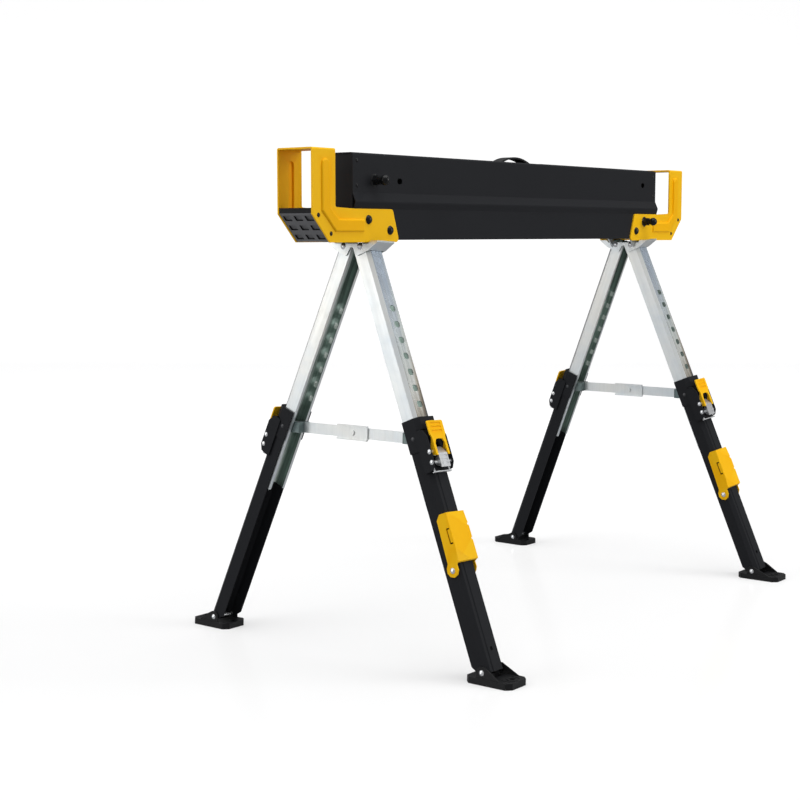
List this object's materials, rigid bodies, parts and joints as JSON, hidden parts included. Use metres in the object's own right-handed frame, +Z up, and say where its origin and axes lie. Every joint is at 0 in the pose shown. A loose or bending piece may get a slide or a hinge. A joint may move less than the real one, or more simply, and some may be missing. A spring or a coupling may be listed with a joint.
{
  "type": "folding sawhorse",
  "caption": "Folding steel sawhorse with a long channel rail, slotted end brackets, telescoping splayed legs with thumb latches, folding braces and swivelling feet.",
  "frame": {"origin": "on the floor, under the middle of the rail", "axes": "+X along the rail, +Y across it towards the rear legs, +Z up; the side with the plunger knobs and the support arms faces -Y"},
  "size_m": [1.1168, 0.6416, 0.779],
  "materials": {
    "black_paint": "satin powder coat",
    "yellow_paint": "satin powder coat",
    "zinc_plate": "bright zinc plate with a faint bluish tint",
    "bright_rivet": "bright zinc plate",
    "silver_casting": "satin",
    "black_moulding": "matt"
  },
  "bodies": {
    "rail": {"top_rail": "black_paint", "carry_handle": "black_moulding", "black_rivets": "black_paint", "bracket_bolts": "black_paint", "plunger_collars": "black_paint", "swing_pins": "bright_rivet", "rail_end_plate_left": "black_paint", "end_bracket_left": "yellow_paint", "end_pad_left": "black_moulding", "rail_end_plate_right": "black_paint", "end_bracket_right": "yellow_paint", "end_pad_right": "black_moulding"},
    "yoke_left": {"yoke_left": "zinc_plate", "leg_hinge_rivets_left": "bright_rivet"},
    "plunger_left": {"plunger_knob_left": "black_moulding"},
    "upper_leg_front_left": {"upper_leg_front_left": "zinc_plate", "brace_pin_front_left": "bright_rivet"},
    "lower_leg_front_left": {"lower_leg_front_left": "black_paint", "leg_collar_front_left": "black_paint", "latch_ears_front_left": "black_paint", "leg_rivets_front_left": "bright_rivet"},
    "lever_front_left": {"latch_lever_front_left": "yellow_paint"},
    "pawl_front_left": {"latch_pawl_front_left": "silver_casting"},
    "foot_front_left": {"foot_front_left": "black_moulding"},
    "brace_front_left": {"brace_link_front_left": "zinc_plate"},
    "support_arm_left": {"support_arm_left": "yellow_paint"},
    "upper_leg_rear_left": {"upper_leg_rear_left": "zinc_plate", "brace_pin_rear_left": "bright_rivet"},
    "lower_leg_rear_left": {"lower_leg_rear_left": "black_paint", "leg_collar_rear_left": "black_paint", "latch_ears_rear_left": "black_paint", "leg_rivets_rear_left": "bright_rivet"},
    "lever_rear_left": {"latch_lever_rear_left": "yellow_paint"},
    "pawl_rear_left": {"latch_pawl_rear_left": "silver_casting"},
    "foot_rear_left": {"foot_rear_left": "black_moulding"},
    "brace_rear_left": {"brace_link_rear_left": "zinc_plate"},
    "yoke_right": {"yoke_right": "zinc_plate", "leg_hinge_rivets_right": "bright_rivet"},
    "plunger_right": {"plunger_knob_right": "black_moulding"},
    "upper_leg_front_right": {"upper_leg_front_right": "zinc_plate", "brace_pin_front_right": "bright_rivet"},
    "lower_leg_front_right": {"lower_leg_front_right": "black_paint", "leg_collar_front_right": "black_paint", "latch_ears_front_right": "black_paint", "leg_rivets_front_right": "bright_rivet"},
    "lever_front_right": {"latch_lever_front_right": "yellow_paint"},
    "pawl_front_right": {"latch_pawl_front_right": "silver_casting"},
    "foot_front_right": {"foot_front_right": "black_moulding"},
    "brace_front_right": {"brace_link_front_right": "zinc_plate"},
    "support_arm_right": {"support_arm_right": "yellow_paint"},
    "upper_leg_rear_right": {"upper_leg_rear_right": "zinc_plate", "brace_pin_rear_right": "bright_rivet"},
    "lower_leg_rear_right": {"lower_leg_rear_right": "black_paint", "leg_collar_rear_right": "black_paint", "latch_ears_rear_right": "black_paint", "leg_rivets_rear_right": "bright_rivet"},
    "lever_rear_right": {"latch_lever_rear_right": "yellow_paint"},
    "pawl_rear_right": {"latch_pawl_rear_right": "silver_casting"},
    "foot_rear_right": {"foot_rear_right": "black_moulding"},
    "brace_rear_right": {"brace_link_rear_right": "zinc_plate"}
  },
  "joints": [
    {"name": "leg_pair_fold_left", "type": "hinge", "parent": "rail", "child": "yoke_left", "pos_m": [-0.37, 0, 0.64598], "axis": [0, -1, 0], "range_deg": [0, 93]},
    {"name": "plunger_pull_left", "type": "slide", "parent": "rail", "child": "plunger_left", "axis": [0, -1, 0], "range_m": [0, 0.008], "stiffness_N_per_m": 900, "springref_m": -0.004},
    {"name": "splay_front_left", "type": "hinge", "parent": "yoke_left", "child": "upper_leg_front_left", "pos_m": [-0.409, -0.0166, 0.628], "axis": [0.9986, 0, -0.0523], "range_deg": [0, 20]},
    {"name": "height_front_left", "type": "slide", "parent": "upper_leg_front_left", "child": "lower_leg_front_left", "axis": [0.0485, 0.3778, 0.9246], "range_m": [-0.0254, 0.1524]},
    {"name": "foot_front_left", "type": "hinge", "parent": "lower_leg_front_left", "child": "foot_front_left", "pos_m": [-0.44105, -0.27081, 0.0165], "axis": [-0.9986, 0, 0.0523], "range_deg": [-20, 20]},
    {"name": "lever_front_left", "type": "hinge", "parent": "lower_leg_front_left", "child": "lever_front_left", "pos_m": [-0.42474, -0.16363, 0.32767], "axis": [-0.9986, 0, 0.0523], "range_deg": [0, 9], "stiffness_Nm_per_rad": 0.6, "springref_deg": -20.05},
    {"name": "pawl_front_left", "type": "hinge", "parent": "lower_leg_front_left", "child": "pawl_front_left", "pos_m": [-0.42553, -0.16875, 0.3125], "axis": [0.9986, 0, -0.0523], "range_deg": [0, 9]},
    {"name": "brace_front_left", "type": "hinge", "parent": "upper_leg_front_left", "child": "brace_front_left", "pos_m": [-0.42397, -0.13335, 0.3423], "axis": [0.9986, 0, -0.0523], "range_deg": [0, 57.8]},
    {"name": "support_arm_left", "type": "hinge", "parent": "lower_leg_front_left", "child": "support_arm_left", "pos_m": [-0.43366, -0.21306, 0.15756], "axis": [0.9986, 0, -0.0523], "range_deg": [0, 70]},
    {"name": "splay_rear_left", "type": "hinge", "parent": "yoke_left", "child": "upper_leg_rear_left", "pos_m": [-0.409, 0.0166, 0.628], "axis": [-0.9986, 0, 0.0523], "range_deg": [0, 20]},
    {"name": "height_rear_left", "type": "slide", "parent": "upper_leg_rear_left", "child": "lower_leg_rear_left", "axis": [0.0485, -0.3778, 0.9246], "range_m": [-0.0254, 0.1524]},
    {"name": "foot_rear_left", "type": "hinge", "parent": "lower_leg_rear_left", "child": "foot_rear_left", "pos_m": [-0.44105, 0.27081, 0.0165], "axis": [0.9986, 0, -0.0523], "range_deg": [-20, 20]},
    {"name": "lever_rear_left", "type": "hinge", "parent": "lower_leg_rear_left", "child": "lever_rear_left", "pos_m": [-0.42474, 0.16363, 0.32767], "axis": [0.9986, 0, -0.0523], "range_deg": [0, 9], "stiffness_Nm_per_rad": 0.6, "springref_deg": -20.05},
    {"name": "pawl_rear_left", "type": "hinge", "parent": "lower_leg_rear_left", "child": "pawl_rear_left", "pos_m": [-0.42553, 0.16875, 0.3125], "axis": [-0.9986, 0, 0.0523], "range_deg": [0, 9]},
    {"name": "brace_rear_left", "type": "hinge", "parent": "upper_leg_rear_left", "child": "brace_rear_left", "pos_m": [-0.42397, 0.13335, 0.3423], "axis": [-0.9986, 0, 0.0523], "range_deg": [0, 57.8]},
    {"name": "leg_pair_fold_right", "type": "hinge", "parent": "rail", "child": "yoke_right", "pos_m": [0.30778, 0, 0.64873], "axis": [0, 1, 0], "range_deg": [0, 93]},
    {"name": "plunger_pull_right", "type": "slide", "parent": "rail", "child": "plunger_right", "axis": [0, -1, 0], "range_m": [0, 0.008], "stiffness_N_per_m": 900, "springref_m": -0.004},
    {"name": "splay_front_right", "type": "hinge", "parent": "yoke_right", "child": "upper_leg_front_right", "pos_m": [0.409, -0.0166, 0.628], "axis": [0.9986, 0, 0.0523], "range_deg": [0, 20]},
    {"name": "height_front_right", "type": "slide", "parent": "upper_leg_front_right", "child": "lower_leg_front_right", "axis": [-0.0485, 0.3778, 0.9246], "range_m": [-0.0254, 0.1524]},
    {"name": "foot_front_right", "type": "hinge", "parent": "lower_leg_front_right", "child": "foot_front_right", "pos_m": [0.44105, -0.27081, 0.0165], "axis": [-0.9986, 0, -0.0523], "range_deg": [-20, 20]},
    {"name": "lever_front_right", "type": "hinge", "parent": "lower_leg_front_right", "child": "lever_front_right", "pos_m": [0.42474, -0.16363, 0.32767], "axis": [-0.9986, 0, -0.0523], "range_deg": [0, 9], "stiffness_Nm_per_rad": 0.6, "springref_deg": -20.05},
    {"name": "pawl_front_right", "type": "hinge", "parent": "lower_leg_front_right", "child": "pawl_front_right", "pos_m": [0.42553, -0.16875, 0.3125], "axis": [0.9986, 0, 0.0523], "range_deg": [0, 9]},
    {"name": "brace_front_right", "type": "hinge", "parent": "upper_leg_front_right", "child": "brace_front_right", "pos_m": [0.42397, -0.13335, 0.3423], "axis": [0.9986, 0, 0.0523], "range_deg": [0, 57.8]},
    {"name": "support_arm_right", "type": "hinge", "parent": "lower_leg_front_right", "child": "support_arm_right", "pos_m": [0.43366, -0.21306, 0.15756], "axis": [0.9986, 0, 0.0523], "range_deg": [0, 70]},
    {"name": "splay_rear_right", "type": "hinge", "parent": "yoke_right", "child": "upper_leg_rear_right", "pos_m": [0.409, 0.0166, 0.628], "axis": [-0.9986, 0, -0.0523], "range_deg": [0, 20]},
    {"name": "height_rear_right", "type": "slide", "parent": "upper_leg_rear_right", "child": "lower_leg_rear_right", "axis": [-0.0485, -0.3778, 0.9246], "range_m": [-0.0254, 0.1524]},
    {"name": "foot_rear_right", "type": "hinge", "parent": "lower_leg_rear_right", "child": "foot_rear_right", "pos_m": [0.44105, 0.27081, 0.0165], "axis": [0.9986, 0, 0.0523], "range_deg": [-20, 20]},
    {"name": "lever_rear_right", "type": "hinge", "parent": "lower_leg_rear_right", "child": "lever_rear_right", "pos_m": [0.42474, 0.16363, 0.32767], "axis": [0.9986, 0, 0.0523], "range_deg": [0, 9], "stiffness_Nm_per_rad": 0.6, "springref_deg": -20.05},
    {"name": "pawl_rear_right", "type": "hinge", "parent": "lower_leg_rear_right", "child": "pawl_rear_right", "pos_m": [0.42553, 0.16875, 0.3125], "axis": [-0.9986, 0, -0.0523], "range_deg": [0, 9]},
    {"name": "brace_rear_right", "type": "hinge", "parent": "upper_leg_rear_right", "child": "brace_rear_right", "pos_m": [0.42397, 0.13335, 0.3423], "axis": [-0.9986, 0, -0.0523], "range_deg": [0, 57.8]}
  ],
  "couplings": [
    {"joint": "pawl_front_left", "follows": "lever_front_left", "ratio": 1},
    {"joint": "brace_front_left", "follows": "splay_front_left", "ratio": 2.885},
    {"joint": "pawl_rear_left", "follows": "lever_rear_left", "ratio": 1},
    {"joint": "brace_rear_left", "follows": "splay_front_left", "ratio": 2.885},
    {"joint": "splay_rear_left", "follows": "splay_front_left", "ratio": 1},
    {"joint": "pawl_front_right", "follows": "lever_front_right", "ratio": 1},
    {"joint": "brace_front_right", "follows": "splay_front_right", "ratio": 2.885},
    {"joint": "pawl_rear_right", "follows": "lever_rear_right", "ratio": 1},
    {"joint": "brace_rear_right", "follows": "splay_front_right", "ratio": 2.885},
    {"joint": "splay_rear_right", "follows": "splay_front_right", "ratio": 1}
  ]
}
